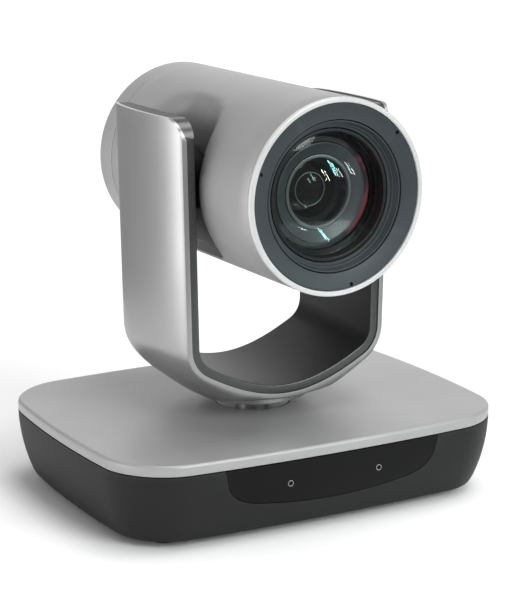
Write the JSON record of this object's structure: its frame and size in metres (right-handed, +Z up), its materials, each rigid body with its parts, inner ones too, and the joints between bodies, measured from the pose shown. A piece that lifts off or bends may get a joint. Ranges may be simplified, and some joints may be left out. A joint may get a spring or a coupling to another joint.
{
  "type": "ptz conference camera",
  "caption": "Conference camera: a flat base, a silver U-shaped yoke that pans on it, and a barrel head that tilts between the yoke's arms.",
  "frame": {"origin": "on the surface that the feet stand on, below the pan axis", "axes": "+Z up; the lens faces -Y; +X is to the viewer's right from the front"},
  "size_m": [0.1798, 0.138, 0.1718],
  "materials": {
    "charcoal_housing": "charcoal plastic with a fine moulded texture",
    "silver_plate": "satin silver-grey paint",
    "silver_yoke": "satin metallic silver paint",
    "silver_head": "satin metallic silver-grey paint",
    "pale_rim": "bright pale silver edge",
    "window_black": "glossy black that infrared light passes",
    "yoke_lining": "dark grey with a soft shine",
    "bezel_slate": "satin slate grey",
    "matt_black": "matt black",
    "dark_metal": "satin black on metal",
    "lens_glass": "coated optical glass",
    "steel": "plain steel",
    "brass": "turned brass",
    "circuit_board": "green solder mask",
    "sensor_black": "image sensor package",
    "rubber": "black rubber",
    "nylon": "natural nylon"
  },
  "bodies": {
    "base": {"base_housing": "charcoal_housing", "base_top_plate": "silver_plate", "ir_window": "window_black", "base_bottom_plate": "steel", "tripod_insert": "brass", "foot_front_left": "rubber", "foot_front_right": "rubber", "foot_rear_right": "rubber", "foot_rear_left": "rubber", "main_board": "circuit_board", "heat_sink": "dark_metal", "lan_socket": "steel", "hdmi_socket": "steel", "usb_socket": "steel", "dc_jack": "matt_black", "rs232_socket": "matt_black", "audio_jack": "brass", "io_panel": "dark_metal", "ir_board": "circuit_board", "ir_receiver_left": "matt_black", "ir_receiver_right": "matt_black", "pan_bearing": "steel", "bearing_retainer": "steel", "pan_motor": "steel", "pan_motor_bracket": "steel"},
    "pan_pinion": {"pan_pinion": "brass"},
    "yoke": {"yoke_shell": "silver_yoke", "yoke_frame": "yoke_lining", "pan_collar": "silver_yoke", "pan_shaft": "steel", "pan_gear": "nylon", "arm_pod_left": "matt_black", "arm_pod_right": "matt_black", "tilt_bearing_left": "steel", "tilt_bearing_right": "steel", "tilt_motor": "steel"},
    "tilt_pinion": {"tilt_pinion": "brass"},
    "head": {"trunnion_left": "steel", "trunnion_right": "steel", "tilt_gear": "nylon", "head_shell": "silver_head", "head_rear_cap": "silver_head", "front_rim": "pale_rim", "front_bezel": "bezel_slate", "lens_hood": "matt_black", "lens_front_ring": "dark_metal", "front_lens": "lens_glass", "baffle_ring": "matt_black", "zoom_block": "matt_black", "guide_rod_left": "steel", "guide_rod_right": "steel", "iris": "dark_metal", "ir_cut_filter": "lens_glass", "image_sensor": "sensor_black", "sensor_board": "circuit_board", "head_cradle": "steel"},
    "zoom_group": {"zoom_carrier": "matt_black", "zoom_lens": "lens_glass"},
    "focus_group": {"focus_carrier": "matt_black", "focus_lens": "lens_glass"}
  },
  "joints": [
    {"name": "pan", "type": "hinge", "parent": "base", "child": "yoke", "pos_m": [0, 0, 0.036], "axis": [0, 0, 1], "range_deg": [-170, 170]},
    {"name": "pan_pinion_spin", "type": "hinge", "parent": "base", "child": "pan_pinion", "pos_m": [0, 0.03, 0.026], "axis": [0, 0, 1], "range_deg": [-690, 690]},
    {"name": "tilt", "type": "hinge", "parent": "yoke", "child": "head", "pos_m": [0, 0, 0.1333], "axis": [-1, 0, 0], "range_deg": [-30, 90]},
    {"name": "tilt_pinion_spin", "type": "hinge", "parent": "yoke", "child": "tilt_pinion", "pos_m": [0.0369, 0.0168, 0.1333], "axis": [-1, 0, 0], "range_deg": [-340, 120]},
    {"name": "zoom", "type": "slide", "parent": "head", "child": "zoom_group", "axis": [0, 1, 0], "range_m": [0, 0.014]},
    {"name": "focus", "type": "slide", "parent": "head", "child": "focus_group", "axis": [0, 1, 0], "range_m": [0, 0.006]}
  ],
  "couplings": [
    {"joint": "pan_pinion_spin", "follows": "pan", "ratio": -4},
    {"joint": "tilt_pinion_spin", "follows": "tilt", "ratio": -3.6667}
  ]
}
